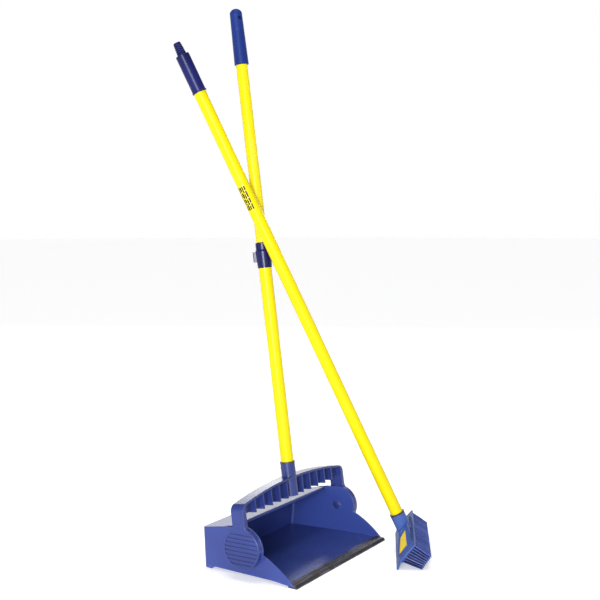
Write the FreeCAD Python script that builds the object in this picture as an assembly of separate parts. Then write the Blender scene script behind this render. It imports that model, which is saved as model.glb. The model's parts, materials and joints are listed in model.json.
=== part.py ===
"""Self-closing lobby dust pan with a telescopic handle, and the long-handled brush that leans on it.

Frame: millimetres, +Z up, +X to the side of the pan, the mouth of the pan faces -Y.
The origin is the centre of the flat foot strip under the rear edge of the pan.
"""
import FreeCAD, Part
import math
import os

V = FreeCAD.Vector

# ---- driving dimensions -------------------------------------------------------------
# pan
LIP_WIDTH = 300.0            # outside width at the lip
REAR_WIDTH = 270.0           # outside width at the foot of the rear wall
PAN_DEPTH = 190.4            # rear edge to the front of the rubber lip
REAR_HEIGHT = 70.0           # rear wall
PAN_WALL = 2.6
FLOOR_TOP = 7.2              # upper face of the floor behind the ramp
FOOT_DEPTH = 16.0            # flat strip under the rear edge
SIDE_DRAFT = 6.0             # degrees, the side walls lean out
REAR_DRAFT = 2.0             # degrees, the rear wall leans forward
CORNER_RADIUS = 8.0          # rear upright corners
RAMP_LENGTH = 47.0           # floor slopes down to the lip over this length
TONGUE_TOP = 4.0             # upper face of the floor at its front edge
ROLL_RADIUS = 2.6            # rounded front edge of the roof
# rubber lip
STRIP_COVER = 17.0           # depth of the band that lies on the floor
STRIP_SKIN = 1.2
STRIP_NOSE = 4.4             # rubber in front of the floor edge
# pivot
PIVOT_SETBACK = 93.3         # rear edge to pivot axis
PIVOT_HEIGHT = 52.0
BOSS_RADIUS = 34.5           # round side boss, which is also the bulge of the wall
BOSS_PROUD = 0.15            # boss face beyond the widest point of the bulge
ROOF_EDGE_OUT = 6.4          # front edge of the roof beyond the rim of the boss
ROOF_EDGE_ANGLE = 48.0       # and its direction from the pivot, degrees from +Y
INNER_BOSS_RADIUS = 7.5
INNER_BOSS_PROUD = 1.6
PIN_RADIUS = 3.5
PIN_CLEARANCE = 0.08
PIN_HEAD_LIP = 2.0           # head beyond the shank
PIN_HEAD_LENGTH = 2.0
PIN_GRIP = 5.0               # length of pin held in the disc
WASHER_LIP = 5.5             # washer beyond the pin
WASHER_PLAY = 0.2
SIDE_GAP = 0.8               # boss to disc
STOP_RADIUS = 2.5            # peg that ends the swing
STOP_INSET = 10.0            # its path inside the rim of the disc
STOP_LENGTH = 3.4
STOP_CLEARANCE = 0.4
STOP_ANGLE = -50.0           # place of the peg, degrees from +Y
SWING = 80.0                 # swing of the pan, degrees
# bail and handle: all heights on the handle are from the pivot
LEAN = 7.5                   # degrees that the handle leans back
DISC_INSET = 0.5             # rim of the disc inside the rim of the boss
BAIL_THICKNESS = 8.9         # disc and leg, along X
DISC_GROOVES = 8
DISC_GROOVE_WIDTH = 3.0
DISC_GROOVE_DEPTH = 1.2
DISC_RIM = 3.0
DISC_ROUND = 1.6
BAIL_DEPTH = 24.0            # leg and flange, front to back
LEG_LENGTH = 17.0            # rim of the disc to the cross bar
LEG_FLARE = 8.0              # the leg widens by this where it meets the disc
BAIL_ROUND = 1.1             # rounding of the outer edges
BAR_HEIGHT_SIDE = 21.0       # cross bar over the legs
BAR_HEIGHT_MIDDLE = 34.0     # and at the handle
BAIL_CORNER = 12.0
FLANGE_THICKNESS = 3.2
BAR_WEB = 3.0
BAR_RIB = 2.6
BAR_RIBS_PER_SIDE = 5
BAR_RIB_INSET = 1.5
FERRULE_LENGTH = 25.0        # above the cross bar
FERRULE_WALL = 1.6
FERRULE_RING = 2.4           # height of the dark ring that closes the ferrule
RING_PROUD = 0.3
SCREW_DROP = 12.0            # screw below the top of its socket
SCREW_SHANK = 1.6            # radius
SCREW_HEAD = 3.2             # radius
SCREW_SEAT_GAP = 0.05
SCREW_BITE = 2.0             # tip of a screw inside the wall of the tube
# tubes
LOWER_TUBE_RADIUS = 11.0
BROOM_TUBE_RADIUS = 10.75
TUBE_WALL = 0.8
TUBE_PLAY = 0.2              # upper tube in the lower tube
SOCKET_FLOOR = 5.0           # under the foot of the lower tube
PLUG_LENGTH = 12.0
TUBE_OVERLAP = 90.0
BUSH_LENGTH = 24.0
BUSH_FLANGE = 4.0
BUSH_CLEARANCE = 0.06
# collar
COLLAR_FOOT = 446.5
COLLAR_LENGTH = 28.4
COLLAR_WALL_TOP = 1.7
COLLAR_WALL_FOOT = 0.9
COLLAR_RIM = 3.0             # height of the rim under the nut
TUBE_IN_COLLAR = 23.5
COLLET_LENGTH = 12.1         # above the nut
COLLET_WALL = 0.4            # collet beyond the sleeve
COLLET_SLOT = 1.6
RUNNING_CLEARANCE = 0.06
SLEEVE_WALL = 0.6            # threaded sleeve on the lower tube, made as a plain cylinder
AXIAL_GAP = 0.2
WING_REACH = 4.8
WING_WIDTH = 6.0
WING_HEIGHT = 18.0
WING_TURN = 31.5             # degrees; the wings point past the brush pole
# grip
GRIP_FOOT = 790.0
GRIP_LENGTH = 95.5
GRIP_WALL_FOOT = 2.2
GRIP_WALL_TOP = 0.4
HANG_DROP = 17.0             # hole below the top
HANG_RADIUS = 3.25
HANG_TURN = 68.0             # degrees, direction of the hole from +X
GRIP_BORE_DEPTH = 62.0
GRIP_DOME = 7.0
# brush: where it stands, and how it leans
BRUSH_YAW = 27.4             # degrees, turn of the long side of the head from +X
SEAT_SIDE = 115.3            # where the pole axis meets the head: to the side
SEAT_AHEAD = 59.6            # and in front of the lip of the pan
POLE_REST_HEIGHT = 26.0      # the pole touches the handle this far above the collet
POLE_REST_GAP = 0.86
# brush head, across: w runs from the low edge to the high edge, n away from the bristles
HEAD_LENGTH = 206.0
HEAD_WIDTH = 53.25
HEAD_TILT = 55.7             # degrees, the width of the head from the floor
CREST_ACROSS = 19.0
CREST_HEIGHT = 4.3
RIM_THICKNESS = 2.6
CORE_END = 5.0               # core inside the ends of the head
CORE_SIDE = 2.0              # and inside its high edge
SEAT_ACROSS = 36.0           # seat of the pole from the low edge
SOCKET_WALL = 2.05
SOCKET_TOP = 41.0            # from the seat, along the pole
SOCKET_RING = 2.4
NECK_HEIGHT = 17.0           # where the saddle meets the socket, along the pole
SADDLE_END = 21.0            # foot of the saddle from the end of the head
SADDLE_LOW = 12.0            # and across the head, from the low edge
SADDLE_HIGH = 6.25           # and from the high edge
INLAY_END = 11.0             # outer end of the inlay from the foot of the saddle
INLAY_START = 8.2            # its crown from the socket
INLAY_LOW = 15.5             # its outer end across the head
INLAY_WIDTH = 21.5
INLAY_THICKNESS = 2.0
INLAY_PROUD = 0.5
RIDGE_WIDTH = 3.4
RIDGE_HEIGHT = 1.6
BRUSH_SCREW_RADIUS = 2.0
BRISTLE_ROWS = 8
FIRST_ROW = 16.2             # roots of the lowest row, from the low edge
FIRST_ROW_TIPS = 24.8        # its tips lean in from the floor
LAST_ROW = 3.15              # highest row, from the high edge
ROW_THICKNESS = 2.6
BRISTLE_SHORT = 34.8         # lowest row, from the line between the two edges
BRISTLE_LONG = 35.2          # highest row
BRISTLE_END = 2.0            # bristles stop this far from the ends of the head
# brush pole: heights from the seat
BROOM_TUBE_FOOT = 9.0
SLEEVE_FOOT = 832.0
SLEEVE_LENGTH = 68.0
SLEEVE_SKIN = 1.05
SLEEVE_RIM = 1.85
TUBE_IN_SLEEVE = 6.0         # head of the tube below the top of its sleeve
TIP_LENGTH = 22.0
TIP_SHOULDER_FOOT = 2.9      # tip inside the outside of the tube
TIP_SHOULDER_TOP = 4.5
TIP_PLUG = 30.0
THREAD_TURNS = 4
THREAD_PITCH = 4.0
LABEL_FOOT = 617.0
LABEL_LENGTH = 48.0
LABEL_THICKNESS = 0.12

# ---- derived places -----------------------------------------------------------------
REAR_Y = FOOT_DEPTH / 2
LIP_Y = REAR_Y - PAN_DEPTH
FLOOR_FRONT_Y = LIP_Y + STRIP_NOSE
RAMP_Y = LIP_Y + RAMP_LENGTH
FLOOR_UNDER = FLOOR_TOP - PAN_WALL
FLOOR_FALL = (FLOOR_TOP - TONGUE_TOP) / (RAMP_Y - FLOOR_FRONT_Y)
PIVOT = V(0, REAR_Y - PIVOT_SETBACK, PIVOT_HEIGHT)
ROOF_REACH = BOSS_RADIUS + ROOF_EDGE_OUT
ROOF_FRONT = PIVOT + V(0, ROOF_REACH * math.cos(math.radians(ROOF_EDGE_ANGLE)),
                       ROOF_REACH * math.sin(math.radians(ROOF_EDGE_ANGLE)))
BLOCK_TOP = PIVOT_HEIGHT + 2 * BOSS_RADIUS
SIDE_FLARE = (LIP_WIDTH - REAR_WIDTH) / 2 / PAN_DEPTH
SIDE_LEAN = math.tan(math.radians(SIDE_DRAFT))
WALL_AT_PIVOT = REAR_WIDTH / 2 + SIDE_FLARE * PIVOT_SETBACK + SIDE_LEAN * PIVOT_HEIGHT
BOSS_FACE = WALL_AT_PIVOT + BOSS_RADIUS * math.hypot(SIDE_FLARE, SIDE_LEAN) + BOSS_PROUD
INNER_BOSS_FACE = WALL_AT_PIVOT - PAN_WALL - INNER_BOSS_PROUD
STOP_ORBIT = BOSS_RADIUS - DISC_INSET - STOP_INSET
DISC_RADIUS = BOSS_RADIUS - DISC_INSET
DISC_FACE = BOSS_FACE + SIDE_GAP
BAIL_OUTER = DISC_FACE + BAIL_THICKNESS
BAR_BOTTOM = DISC_RADIUS + LEG_LENGTH
BAR_TOP_SIDE = BAR_BOTTOM + BAR_HEIGHT_SIDE
BAR_TOP_MIDDLE = BAR_BOTTOM + BAR_HEIGHT_MIDDLE
FERRULE_TOP = BAR_TOP_MIDDLE + FERRULE_LENGTH
FERRULE_RADIUS = LOWER_TUBE_RADIUS + FERRULE_WALL
SCREW_HEIGHT = FERRULE_TOP - SCREW_DROP
LOWER_BORE = LOWER_TUBE_RADIUS - TUBE_WALL
LOWER_TUBE_FOOT = BAR_BOTTOM + SOCKET_FLOOR
LOWER_TUBE_HEAD = COLLAR_FOOT + TUBE_IN_COLLAR
UPPER_TUBE_RADIUS = LOWER_BORE - TUBE_PLAY
UPPER_BORE = UPPER_TUBE_RADIUS - TUBE_WALL
UPPER_TUBE_FOOT = LOWER_TUBE_HEAD - TUBE_OVERLAP
UPPER_TUBE_HEAD = GRIP_FOOT + GRIP_BORE_DEPTH
SLEEVE_OUTER = LOWER_TUBE_RADIUS + SLEEVE_WALL
COLLAR_TOP = COLLAR_FOOT + COLLAR_LENGTH
COLLET_TOP = COLLAR_TOP + COLLET_LENGTH
GRIP_TOP = GRIP_FOOT + GRIP_LENGTH
HANG_HEIGHT = GRIP_TOP - HANG_DROP
BROOM_BORE = BROOM_TUBE_RADIUS - TUBE_WALL
SOCKET_RADIUS = BROOM_TUBE_RADIUS + SOCKET_WALL
BRUSH_SCREW_HEIGHT = SOCKET_TOP - SCREW_DROP
SLEEVE_TOP = SLEEVE_FOOT + SLEEVE_LENGTH
BROOM_TUBE_HEAD = SLEEVE_TOP - TUBE_IN_SLEEVE
TIP_TOP = SLEEVE_TOP + TIP_LENGTH
MOUTH_X = 400.0              # longer than anything across the pan

os.makedirs("parts", exist_ok=True)


# ---- helpers ------------------------------------------------------------------------
def save(name, shape):
    """Write one node."""
    shape.exportStep(os.path.join("parts", name + ".step"))


def outward(shape):
    """The same solid with its faces turned outwards."""
    if shape.Volume < 0:
        shape.reverse()
    return shape


def face_of(edges):
    return Part.Face(Part.Wire(edges))


def polygon(points):
    return Part.Face(Part.makePolygon(points + [points[0]]))


def prism_x(points, x0, x1):
    """A (y, z) outline drawn out along X."""
    outline = polygon([V(x0, y, z) for y, z in points])
    return outward(outline.extrude(V(x1 - x0, 0, 0)))


def rod(radius, z0, z1):
    return Part.makeCylinder(radius, z1 - z0, V(0, 0, z0))


def pipe(outer, inner, z0, z1):
    return rod(outer, z0, z1).cut(rod(inner, z0 - 1, z1 + 1))


def turned(profile):
    """A closed (radius, height) outline turned about Z."""
    outline = polygon([V(r, 0, z) for r, z in profile])
    return outward(outline.revolve(V(0, 0, 0), V(0, 0, 1), 360))


def box(x0, x1, y0, y1, z0, z1):
    return Part.makeBox(x1 - x0, y1 - y0, z1 - z0, V(x0, y0, z0))


def side_rod(radius, x0, x1, y=0.0, z=0.0):
    return Part.makeCylinder(radius, x1 - x0, V(x0, y, z), V(1, 0, 0))


def mirrored(shape):
    """The same piece on the other side of the pan."""
    return shape.mirror(V(0, 0, 0), V(1, 0, 0))


def placed(shape, origin, across, along):
    """Move a piece from its drawing frame: X goes to across, Z goes to along."""
    third = along.cross(across)
    turn = FreeCAD.Matrix(across.x, third.x, along.x, origin.x,
                          across.y, third.y, along.y, origin.y,
                          across.z, third.z, along.z, origin.z,
                          0, 0, 0, 1)
    copy = shape.copy()
    copy.Placement = FreeCAD.Placement(turn).multiply(copy.Placement)
    return copy


HANDLE_UP = V(0, math.sin(math.radians(LEAN)), math.cos(math.radians(LEAN)))


def on_handle(shape):
    """Pieces of the handle are drawn upright on the pivot axis, then leaned back."""
    return placed(shape, PIVOT, V(1, 0, 0), HANDLE_UP)


# ---- pan ----------------------------------------------------------------------------
def half_width(y, z, inset=0.0):
    """Outer half width of the pan; the walls flare to the lip and lean out."""
    return REAR_WIDTH / 2 + SIDE_FLARE * (REAR_Y - y) + SIDE_LEAN * z - inset


def beyond(point, normal):
    """Everything on the far side of a plane."""
    across = normal.cross(V(0, 0, 1)).normalize()
    return placed(box(-600, 600, -600, 600, 0, 600), point, across, normal.normalize())


def drafted_block(inset):
    """Block between the side walls and the rear wall, with round rear corners."""
    rear_lean = math.tan(math.radians(REAR_DRAFT))
    side_x = half_width(0, 0, inset)
    block = box(-MOUTH_X, MOUTH_X, LIP_Y - 30.0, REAR_Y + 30.0, -20.0, BLOCK_TOP)
    block = block.cut([beyond(V(0, REAR_Y - inset, 0), V(0, 1, rear_lean)),
                       beyond(V(side_x, 0, 0), V(1, SIDE_FLARE, -SIDE_LEAN)),
                       beyond(V(-side_x, 0, 0), V(-1, SIDE_FLARE, -SIDE_LEAN))])
    uprights = [edge for edge in block.Edges
                if edge.BoundBox.ZLength > REAR_HEIGHT and edge.BoundBox.YMax > 0]
    return block.makeFillet(CORNER_RADIUS - inset, uprights)


def pan_side_outline():
    """Outline of the pan seen from the side, as a face in the plane X = 0."""
    rear_top = V(0, REAR_Y, REAR_HEIGHT)
    touch = math.radians(ROOF_EDGE_ANGLE) + math.acos(BOSS_RADIUS / ROOF_REACH)
    notch = math.radians(194)

    def on_boss(angle):
        return PIVOT + V(0, math.cos(angle), math.sin(angle)) * BOSS_RADIUS

    bulge_start, bulge_end = on_boss(touch), on_boss(notch)
    cheek_top = bulge_end + V(0, -3.5, -0.8)
    cheek_foot = V(0, FLOOR_FRONT_Y + 3.0, TONGUE_TOP + 0.6)
    cheek_middle = (cheek_top + cheek_foot) * 0.5 + V(0, -1.6, 2.4)
    floor_edge = V(0, FLOOR_FRONT_Y, TONGUE_TOP)
    tongue_under = V(0, FLOOR_FRONT_Y, TONGUE_TOP - PAN_WALL)
    ramp_under = V(0, RAMP_Y, FLOOR_UNDER)
    arch_rear = V(0, REAR_Y - FOOT_DEPTH - 5.0, FLOOR_UNDER)
    foot_front = V(0, REAR_Y - FOOT_DEPTH, 0)
    foot_rear = V(0, REAR_Y - 3.0, 0)
    heel = V(0, REAR_Y, 3.0)
    return face_of([
        Part.makeLine(heel, rear_top),
        Part.makeLine(rear_top, ROOF_FRONT),
        Part.makeLine(ROOF_FRONT, bulge_start),
        Part.Arc(bulge_start, on_boss((touch + notch) / 2), bulge_end).toShape(),
        Part.makeLine(bulge_end, cheek_top),
        Part.Arc(cheek_top, cheek_middle, cheek_foot).toShape(),
        Part.makeLine(cheek_foot, floor_edge),
        Part.makeLine(floor_edge, tongue_under),
        Part.makeLine(tongue_under, ramp_under),
        Part.makeLine(ramp_under, arch_rear),
        Part.makeLine(arch_rear, foot_front),
        Part.makeLine(foot_front, foot_rear),
        Part.makeLine(foot_rear, heel)])


def pan_cavity():
    """What is open inside the walls: the hopper in front and the bin under the roof."""
    roof_slope = (ROOF_FRONT.z - REAR_HEIGHT) / (REAR_Y - ROOF_FRONT.y)
    past = 25.0
    return prism_x([
        (REAR_Y + past, FLOOR_TOP),
        (REAR_Y + past, REAR_HEIGHT - PAN_WALL - past * roof_slope),
        (ROOF_FRONT.y, ROOF_FRONT.z - PAN_WALL),
        (ROOF_FRONT.y, BLOCK_TOP + past),
        (FLOOR_FRONT_Y - past, BLOCK_TOP + past),
        (FLOOR_FRONT_Y - past, TONGUE_TOP - past * FLOOR_FALL),
        (RAMP_Y, FLOOR_TOP)], -MOUTH_X, MOUTH_X)


def pan_body():
    outer = outward(pan_side_outline().extrude(V(2 * MOUTH_X, 0, 0)))
    outer.translate(V(-MOUTH_X, 0, 0))
    outer = outer.common(drafted_block(0.0))
    hollow = drafted_block(PAN_WALL).common(pan_cavity())
    body = outer.cut(hollow)
    # rounded front edge of the roof
    roll_z = ROOF_FRONT.z - ROLL_RADIUS
    roll_x = half_width(ROOF_FRONT.y, roll_z, PAN_WALL / 2)
    roll = side_rod(ROLL_RADIUS, -roll_x, roll_x, ROOF_FRONT.y, roll_z)
    body = body.fuse(roll.common(drafted_block(0.5)))
    boss_root = WALL_AT_PIVOT - PAN_WALL - BOSS_RADIUS * math.hypot(SIDE_FLARE, SIDE_LEAN) - 1.0
    stop_at = math.radians(STOP_ANGLE)
    for side in (1, -1):
        boss = side_rod(BOSS_RADIUS, boss_root, BOSS_FACE, PIVOT.y, PIVOT.z)
        boss = boss.cut(drafted_block(PAN_WALL))
        inner = side_rod(INNER_BOSS_RADIUS, INNER_BOSS_FACE, BOSS_FACE, PIVOT.y, PIVOT.z)
        stop = side_rod(STOP_RADIUS, BOSS_FACE - 1.0, BOSS_FACE + STOP_LENGTH,
                        PIVOT.y + STOP_ORBIT * math.cos(stop_at),
                        PIVOT.z + STOP_ORBIT * math.sin(stop_at))
        bore = side_rod(PIN_RADIUS + PIN_CLEARANCE, 0.0, MOUTH_X, PIVOT.y, PIVOT.z)
        pieces = [boss, inner, stop, bore]
        if side < 0:
            pieces = [mirrored(piece) for piece in pieces]
        body = body.fuse(pieces[:3]).cut(pieces[3])
    return body.removeSplitter()


def lip_strip(body):
    """Rubber strip that wraps the front edge of the floor."""
    cover_y = LIP_Y + STRIP_COVER
    cover_top = TONGUE_TOP + FLOOR_FALL * (cover_y - FLOOR_FRONT_Y) + STRIP_SKIN
    nose = prism_x([(LIP_Y, 0), (LIP_Y, 1.6), (FLOOR_FRONT_Y - 1.2, TONGUE_TOP + STRIP_SKIN * 0.8),
                    (cover_y, cover_top), (cover_y, 0)], -MOUTH_X, MOUTH_X)
    across = drafted_block(0.0)
    behind = prism_x([(FLOOR_FRONT_Y + 3.2, TONGUE_TOP - 1.0), (FLOOR_FRONT_Y + 3.2, 60.0),
                      (cover_y + 1, 60.0), (cover_y + 1, TONGUE_TOP - 1.0)], -MOUTH_X, MOUTH_X)
    ends = behind.cut(drafted_block(PAN_WALL))
    return nose.common(across).cut(ends).cut(body)


PAN = pan_body()
save("pan_body", PAN)
save("lip_strip", lip_strip(PAN))


# ---- bail, pins and washers ---------------------------------------------------------
def bail_arch(inset, depth, z_low):
    """The arch of the bail as a slab: its outline less an inset, down to z_low."""
    corner = BAIL_CORNER - inset
    corner_x = BAIL_OUTER - BAIL_CORNER
    rise = BAR_TOP_MIDDLE - BAR_TOP_SIDE
    top_radius = (corner_x ** 2 + rise ** 2) / (2 * rise)
    top_z = BAR_TOP_MIDDLE - top_radius
    corner_z = top_z + math.sqrt((top_radius - BAIL_CORNER) ** 2 - corner_x ** 2)
    # the corner arcs run tangent into the long arc of the top
    meet = math.atan2(corner_z - top_z, corner_x)

    def on_corner(angle, side):
        return V(side * (corner_x + corner * math.cos(angle)), 0, corner_z + corner * math.sin(angle))

    edges = [Part.Arc(on_corner(meet, 1), V(0, 0, BAR_TOP_MIDDLE - inset), on_corner(meet, -1)).toShape()]
    for side in (1, -1):
        foot = V(side * (BAIL_OUTER - inset), 0, z_low)
        edges.append(Part.makeLine(foot, on_corner(0, side)))
        edges.append(Part.Arc(on_corner(0, side), on_corner(meet / 2, side), on_corner(meet, side)).toShape())
    edges.append(Part.makeLine(V(BAIL_OUTER - inset, 0, z_low), V(inset - BAIL_OUTER, 0, z_low)))
    slab = outward(face_of(Part.sortEdges(edges)[0]).extrude(V(0, depth, 0)))
    slab.translate(V(0, -depth / 2, 0))
    return slab


def disc():
    """Round end of a leg, ribbed with level grooves, with the slot for the stop peg."""
    shape = side_rod(DISC_RADIUS, DISC_FACE, BAIL_OUTER)
    rim = [edge for edge in shape.Edges if edge.CenterOfMass.x > BAIL_OUTER - 0.01]
    shape = shape.makeFillet(DISC_ROUND, rim)
    inner_radius = DISC_RADIUS - DISC_RIM
    pitch = 2 * inner_radius / (DISC_GROOVES + 1)
    field = side_rod(inner_radius, BAIL_OUTER - DISC_GROOVE_DEPTH, BAIL_OUTER + 1)
    cuts = []
    for row in range(DISC_GROOVES):
        z = -inner_radius + pitch * (row + 1)
        cuts.append(box(BAIL_OUTER - DISC_GROOVE_DEPTH, BAIL_OUTER + 1, -DISC_RADIUS, DISC_RADIUS,
                        z - DISC_GROOVE_WIDTH / 2, z + DISC_GROOVE_WIDTH / 2))
    grooves = Part.makeCompound(cuts).common(field)
    return shape.cut(grooves)


def stop_slot():
    """Arc slot in which the peg of the pan runs, drawn level about the pivot."""
    half = STOP_RADIUS + STOP_CLEARANCE
    depth = STOP_LENGTH - SIDE_GAP + 0.6
    ring = side_rod(STOP_ORBIT + half, DISC_FACE, DISC_FACE + depth)
    ring = ring.cut(side_rod(STOP_ORBIT - half, DISC_FACE - 1, DISC_FACE + depth + 1))
    ends = []
    wedge = [(0.0, 0.0)]
    spread = math.degrees(STOP_CLEARANCE / STOP_ORBIT)
    first, last = STOP_ANGLE + spread, STOP_ANGLE - SWING - spread
    for step in range(5):
        angle = math.radians(first + (last - first) * step / 4)
        wedge.append((3 * DISC_RADIUS * math.cos(angle), 3 * DISC_RADIUS * math.sin(angle)))
    for angle in (first, last):
        ends.append(side_rod(half, DISC_FACE, DISC_FACE + depth,
                             STOP_ORBIT * math.cos(math.radians(angle)),
                             STOP_ORBIT * math.sin(math.radians(angle))))
    sector = prism_x(wedge, DISC_FACE - 1, DISC_FACE + depth + 1)
    return ring.common(sector).fuse(ends)


def leg():
    """Strap from the disc to the cross bar, flared where it meets the disc."""
    half = BAIL_DEPTH / 2
    flare = LEG_FLARE
    start = math.sqrt(DISC_RADIUS ** 2 - (half + flare) ** 2) - 2.0
    corner_z = start + flare + 4.0
    top = BAR_BOTTOM + 10.0
    edges = [Part.makeLine(V(DISC_FACE, -half, top), V(DISC_FACE, -half, corner_z)),
             Part.Arc(V(DISC_FACE, -half, corner_z), V(DISC_FACE, -half - 2.2, corner_z - 7.0),
                      V(DISC_FACE, -half - flare, start)).toShape(),
             Part.makeLine(V(DISC_FACE, -half - flare, start), V(DISC_FACE, half + flare, start)),
             Part.Arc(V(DISC_FACE, half + flare, start), V(DISC_FACE, half + 2.2, corner_z - 7.0),
                      V(DISC_FACE, half, corner_z)).toShape(),
             Part.makeLine(V(DISC_FACE, half, corner_z), V(DISC_FACE, half, top)),
             Part.makeLine(V(DISC_FACE, half, top), V(DISC_FACE, -half, top))]
    shape = outward(face_of(edges).extrude(V(BAIL_THICKNESS, 0, 0)))
    outer = [edge for edge in shape.Edges
             if edge.CenterOfMass.x > BAIL_OUTER - 0.01 and start + 1 < edge.CenterOfMass.z < top - 1]
    return shape.makeFillet(BAIL_ROUND, outer)


def bail():
    # flange and legs: the arch less its inside
    inside = bail_arch(FLANGE_THICKNESS, BAIL_DEPTH + 2, 0)
    legs_inner = box(-DISC_FACE, DISC_FACE, -BAIL_DEPTH, BAIL_DEPTH, 0, BAR_TOP_MIDDLE)
    arch = bail_arch(0.0, BAIL_DEPTH, BAR_BOTTOM)
    outline = [edge for edge in arch.Edges
               if abs(abs(edge.CenterOfMass.y) - BAIL_DEPTH / 2) < 0.01
               and edge.CenterOfMass.z > BAR_BOTTOM + 0.01]
    shape = arch.makeFillet(BAIL_ROUND, outline).cut(inside.common(legs_inner))
    # upright web and the ribs on both faces of it
    panel = bail_arch(FLANGE_THICKNESS - 0.5, BAR_WEB, BAR_BOTTOM + 2.0)
    shape = shape.fuse(panel)
    rib_depth = BAIL_DEPTH - 2 * BAR_RIB_INSET
    rib_band = bail_arch(FLANGE_THICKNESS - 0.5, rib_depth, BAR_BOTTOM)
    ribs = []
    rib_pitch = DISC_FACE / (BAR_RIBS_PER_SIDE + 1.25)
    for index in range(1, BAR_RIBS_PER_SIDE + 1):
        for x in (index * rib_pitch, -index * rib_pitch):
            ribs.append(box(x - BAR_RIB / 2, x + BAR_RIB / 2, -BAIL_DEPTH, BAIL_DEPTH,
                            BAR_BOTTOM, BAR_TOP_MIDDLE))
    shape = shape.fuse(Part.makeCompound(ribs).common(rib_band))
    # legs and discs
    level = V(1, 0, 0)
    for side in (1, -1):
        pieces = [leg(), disc().copy()]
        slot = stop_slot()
        pocket = side_rod(PIN_RADIUS, DISC_FACE - 1, DISC_FACE + PIN_GRIP)
        pieces[1].rotate(V(0, 0, 0), level, LEAN)
        slot.rotate(V(0, 0, 0), level, LEAN)
        tools = [slot, pocket]
        if side < 0:
            pieces = [mirrored(piece) for piece in pieces]
            tools = [mirrored(tool) for tool in tools]
        shape = shape.fuse(pieces).cut(tools)
    # socket for the lower tube
    shape = shape.fuse(rod(FERRULE_RADIUS, BAR_BOTTOM, FERRULE_TOP - FERRULE_RING))
    shape = shape.cut(rod(LOWER_TUBE_RADIUS, LOWER_TUBE_FOOT, FERRULE_TOP + 1))
    screw_hole = Part.makeCylinder(SCREW_SHANK, 20, V(0, 0, SCREW_HEIGHT), V(0, 1, 0))
    return shape.cut(screw_hole).removeSplitter()


save("bail", on_handle(bail()))


def pivot_pin():
    """Headed pin, put in from inside the pan and held in the disc."""
    head_face = INNER_BOSS_FACE - 0.1
    head = side_rod(PIN_RADIUS + PIN_HEAD_LIP, head_face - PIN_HEAD_LENGTH, head_face)
    dome = [edge for edge in head.Edges if edge.CenterOfMass.x < head_face - PIN_HEAD_LENGTH + 0.01]
    head = head.makeFillet(1.2, dome)
    return head.fuse(side_rod(PIN_RADIUS, head_face, DISC_FACE + PIN_GRIP)).removeSplitter()


def pivot_washer():
    face = side_rod(PIN_RADIUS + WASHER_LIP, DISC_FACE - SIDE_GAP + WASHER_PLAY, DISC_FACE)
    return face.cut(side_rod(PIN_RADIUS, DISC_FACE - 2, DISC_FACE + 2))


for name, piece in (("pivot_pin", pivot_pin()), ("pivot_washer", pivot_washer())):
    save(name + "_right", on_handle(piece))
    save(name + "_left", on_handle(mirrored(piece)))

save("ferrule_ring", on_handle(pipe(FERRULE_RADIUS + RING_PROUD, LOWER_TUBE_RADIUS,
                                    FERRULE_TOP - FERRULE_RING, FERRULE_TOP)))


def cross_screw(shank, head_radius, tip, seat):
    """Self-tapping screw along +Y from its tip to a domed head with a cross recess."""
    shape = Part.makeCylinder(shank, seat - tip, V(0, tip, 0), V(0, 1, 0))
    head = Part.makeCylinder(head_radius, 1.8, V(0, seat, 0), V(0, 1, 0))
    crown = [edge for edge in head.Edges if edge.CenterOfMass.y > seat + 1.79]
    head = head.makeFillet(1.0, crown)
    recess = box(-head_radius * 0.6, head_radius * 0.6, seat + 1.0, seat + 3, -0.35, 0.35)
    recess = recess.fuse(box(-0.35, 0.35, seat + 1.0, seat + 3,
                             -head_radius * 0.6, head_radius * 0.6))
    return shape.fuse(head).cut(recess).removeSplitter()


def socket_screw():
    """Screw through the back of the ferrule into the lower tube; its head seats on a flat."""
    screw = cross_screw(SCREW_SHANK, SCREW_HEAD, LOWER_BORE - SCREW_BITE,
                        FERRULE_RADIUS + SCREW_SEAT_GAP)
    screw.translate(V(0, 0, SCREW_HEIGHT))
    return screw


save("socket_screw", on_handle(socket_screw()))

# ---- handle tubes, collar and grip --------------------------------------------------
lower_tube = pipe(LOWER_TUBE_RADIUS, LOWER_BORE, LOWER_TUBE_FOOT, LOWER_TUBE_HEAD)
lower_tube = lower_tube.cut(Part.makeCylinder(SCREW_SHANK, 20, V(0, 0, SCREW_HEIGHT), V(0, 1, 0)))
save("lower_tube", on_handle(lower_tube))

save("lower_tube_plug", on_handle(rod(LOWER_BORE, LOWER_TUBE_FOOT, LOWER_TUBE_FOOT + PLUG_LENGTH)))


def collar_base():
    """Sleeve fixed on the head of the lower tube, with a rim that carries the nut."""
    rim_foot = COLLAR_FOOT - COLLAR_RIM
    return turned([(LOWER_TUBE_RADIUS, rim_foot), (SLEEVE_OUTER + 0.7, rim_foot),
                   (SLEEVE_OUTER + 0.7, COLLAR_FOOT - AXIAL_GAP), (SLEEVE_OUTER, COLLAR_FOOT - AXIAL_GAP),
                   (SLEEVE_OUTER, LOWER_TUBE_HEAD), (LOWER_TUBE_RADIUS, LOWER_TUBE_HEAD)])


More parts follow.
